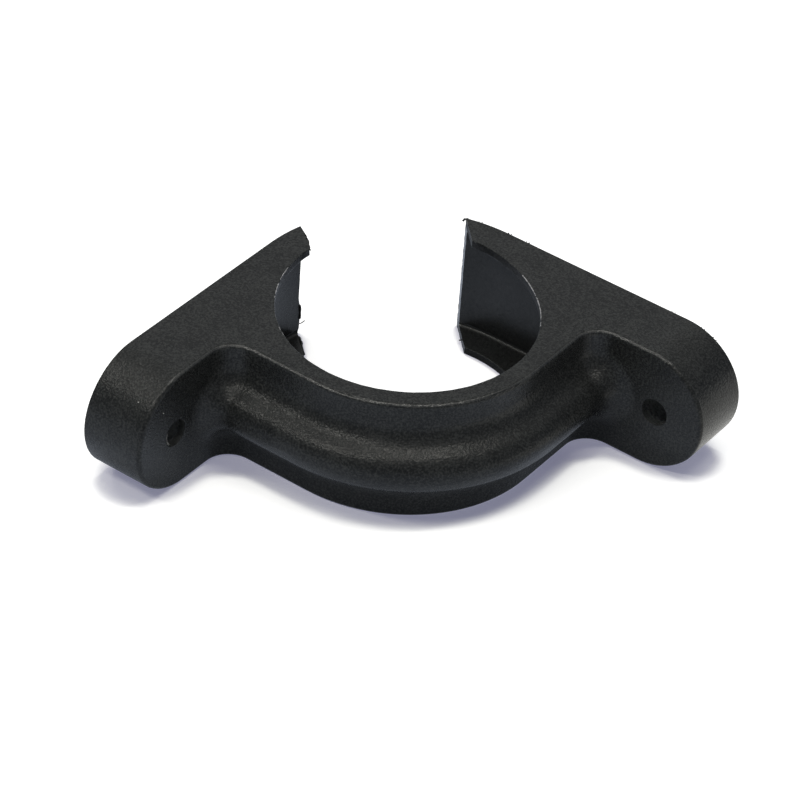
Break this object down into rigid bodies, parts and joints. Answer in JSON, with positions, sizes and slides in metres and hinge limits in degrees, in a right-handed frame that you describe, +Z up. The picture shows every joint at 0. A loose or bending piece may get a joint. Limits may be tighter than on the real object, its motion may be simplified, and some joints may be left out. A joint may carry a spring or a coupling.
{
  "type": "downpipe clip",
  "caption": "Hollow moulded corner clip: a ring with a beaded front holds a round downpipe, and rounded lugs at right angles take screws into an inside wall corner.",
  "frame": {"origin": "on the pipe axis, in the plane of the lower face", "axes": "+Z up along the pipe, +Y to the wall corner, +X across the clip towards its right lug, seen from the front"},
  "size_m": [0.1682, 0.0866, 0.0357],
  "materials": {
    "black_plastic": "fine matt grain"
  },
  "bodies": {
    "root": {"clip_body": "black_plastic"}
  },
  "joints": []
}
